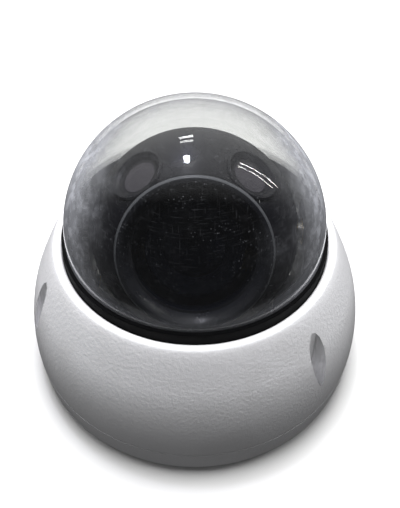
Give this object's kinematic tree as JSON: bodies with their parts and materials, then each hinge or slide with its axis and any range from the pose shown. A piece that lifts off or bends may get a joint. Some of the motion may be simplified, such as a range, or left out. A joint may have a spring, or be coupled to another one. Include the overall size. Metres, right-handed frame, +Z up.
{
  "type": "vandal-resistant dome camera with motorised pan, tilt and zoom",
  "caption": "Dome camera: round metal base and cover, clear bubble, black camera ball on a turning yoke, zoom lens, infrared windows and recessed cover screws.",
  "frame": {"origin": "centre of the underside of the base", "axes": "+Z up along the pan axis, -Y the front, where the lens looks at rest, +X to the right seen from the front"},
  "size_m": [0.153, 0.153, 0.1329],
  "materials": {
    "powder_coat": "fine orange-peel powder coat, light grey-white",
    "clear_dome": "clear polycarbonate with fine scratches",
    "black_rubber": "matt",
    "black_plastic": "satin black moulding",
    "matt_black": "matt black moulding",
    "light_plastic": "light grey moulding",
    "gear_nylon": "black nylon",
    "plain_steel": "zinc plated or stainless steel",
    "brass_part": "turned brass or sintered bronze",
    "circuit_board": "solder mask",
    "lens_glass": "coated lens glass",
    "smoked_window": "smoked infrared window",
    "terminal_green": "moulded terminal block"
  },
  "bodies": {
    "housing": {"base_casting": "powder_coat", "cover_casting": "powder_coat", "cover_seal": "black_rubber", "cover_screws": "plain_steel", "screw_clips": "plain_steel", "dome_bubble": "clear_dome", "dome_gasket": "black_rubber", "dome_clamp_ring": "plain_steel", "clamp_screws": "plain_steel", "cable_grommet": "black_rubber", "main_board": "circuit_board", "board_screws": "plain_steel", "network_socket": "plain_steel", "power_terminal": "terminal_green", "switch_body": "matt_black", "chassis_plate": "plain_steel", "chassis_screws": "plain_steel", "bearing_outer": "plain_steel", "bearing_balls": "plain_steel", "pan_motor": "plain_steel", "slip_ring_housing": "matt_black"},
    "reset_key": {"reset_button": "matt_black"},
    "pan_frame": {"bearing_inner": "plain_steel", "slip_ring_rotor": "brass_part", "turntable": "light_plastic", "yoke_left": "matt_black", "yoke_right": "matt_black", "yoke_screws": "plain_steel", "tilt_bush_left": "brass_part", "tilt_bush_right": "brass_part", "tilt_motor": "plain_steel", "motor_bracket": "plain_steel", "idler_pin": "plain_steel"},
    "pan_drive": {"pan_pinion": "gear_nylon"},
    "camera_ball": {"tilt_gear": "gear_nylon", "trunnion_left": "plain_steel", "trunnion_right": "plain_steel", "ball_front_shell": "black_plastic", "ball_rear_shell": "black_plastic", "hood_ring": "black_plastic", "lens_window": "lens_glass", "ir_windows": "smoked_window", "ir_led_boards": "circuit_board", "ir_lamps": "lens_glass", "lens_plate": "plain_steel", "lens_barrel": "matt_black", "lens_front_ring": "matt_black", "front_element": "lens_glass", "filter_frame": "matt_black", "sensor_board": "circuit_board", "lens_motors": "plain_steel"},
    "tilt_idle": {"tilt_idler": "gear_nylon"},
    "tilt_drive": {"tilt_pinion": "brass_part"},
    "zoom_cam": {"zoom_ring": "matt_black"},
    "zoom_cell": {"zoom_group": "matt_black"},
    "focus_cam": {"focus_ring": "matt_black"},
    "focus_cell": {"focus_group": "matt_black"},
    "zoom_gear": {"zoom_drive": "brass_part"},
    "focus_gear": {"focus_drive": "brass_part"},
    "night_filter": {"filter_slide": "lens_glass"}
  },
  "joints": [
    {"name": "pan", "type": "hinge", "parent": "housing", "child": "pan_frame", "pos_m": [0, 0, 0.0235], "axis": [0, 0, 1], "range_deg": [-177.5, 177.5]},
    {"name": "pan_pinion_spin", "type": "hinge", "parent": "housing", "child": "pan_drive", "pos_m": [0.05034, 0.01491, 0.0197], "axis": [0, 0, 1], "range_deg": [-1065.1, 1065.1]},
    {"name": "tilt", "type": "hinge", "parent": "pan_frame", "child": "camera_ball", "pos_m": [0, 0, 0.0726], "axis": [-1, 0, 0], "range_deg": [-30, 60]},
    {"name": "tilt_idler_spin", "type": "hinge", "parent": "pan_frame", "child": "tilt_idle", "pos_m": [-0.0453, 0, 0.0462], "axis": [-1, 0, 0], "range_deg": [-160.1, 80.1]},
    {"name": "tilt_pinion_spin", "type": "hinge", "parent": "pan_frame", "child": "tilt_drive", "pos_m": [-0.0453, 0, 0.0342], "axis": [-1, 0, 0], "range_deg": [-120.1, 240.1]},
    {"name": "zoom", "type": "hinge", "parent": "camera_ball", "child": "zoom_cam", "pos_m": [0, -0.0026, 0.0741], "axis": [0, -0.866, 0.5], "range_deg": [0, 90]},
    {"name": "zoom_travel", "type": "slide", "parent": "camera_ball", "child": "zoom_cell", "axis": [0, -0.866, 0.5], "range_m": [0, 0.00801]},
    {"name": "zoom_pinion_spin", "type": "hinge", "parent": "camera_ball", "child": "zoom_gear", "pos_m": [-0.02142, -0.0065, 0.06735], "axis": [0, -0.866, 0.5], "range_deg": [-480.1, 0.1]},
    {"name": "focus", "type": "hinge", "parent": "camera_ball", "child": "focus_cam", "pos_m": [0, -0.01039, 0.0786], "axis": [0, -0.866, 0.5], "range_deg": [-45, 45]},
    {"name": "focus_travel", "type": "slide", "parent": "camera_ball", "child": "focus_cell", "axis": [0, -0.866, 0.5], "range_m": [-0.0015, 0.0015]},
    {"name": "focus_pinion_spin", "type": "hinge", "parent": "camera_ball", "child": "focus_gear", "pos_m": [0.02255, -0.0145, 0.07149], "axis": [0, -0.866, 0.5], "range_deg": [-180.1, 180.1]},
    {"name": "filter_shift", "type": "slide", "parent": "camera_ball", "child": "night_filter", "axis": [1, 0, 0], "range_m": [0, 0.011]},
    {"name": "reset_press", "type": "slide", "parent": "housing", "child": "reset_key", "axis": [0, 0, -1], "range_m": [0, 0.0005], "stiffness_N_per_m": 600}
  ],
  "couplings": [
    {"joint": "pan_pinion_spin", "follows": "pan", "ratio": -6},
    {"joint": "tilt_idler_spin", "follows": "tilt", "ratio": -2.6667},
    {"joint": "tilt_pinion_spin", "follows": "tilt", "ratio": 4},
    {"joint": "zoom_travel", "follows": "zoom", "m_per_rad": 0.005093},
    {"joint": "zoom_pinion_spin", "follows": "zoom", "ratio": -5.3333},
    {"joint": "focus_travel", "follows": "focus", "m_per_rad": 0.0019099},
    {"joint": "focus_pinion_spin", "follows": "focus", "ratio": -4}
  ]
}
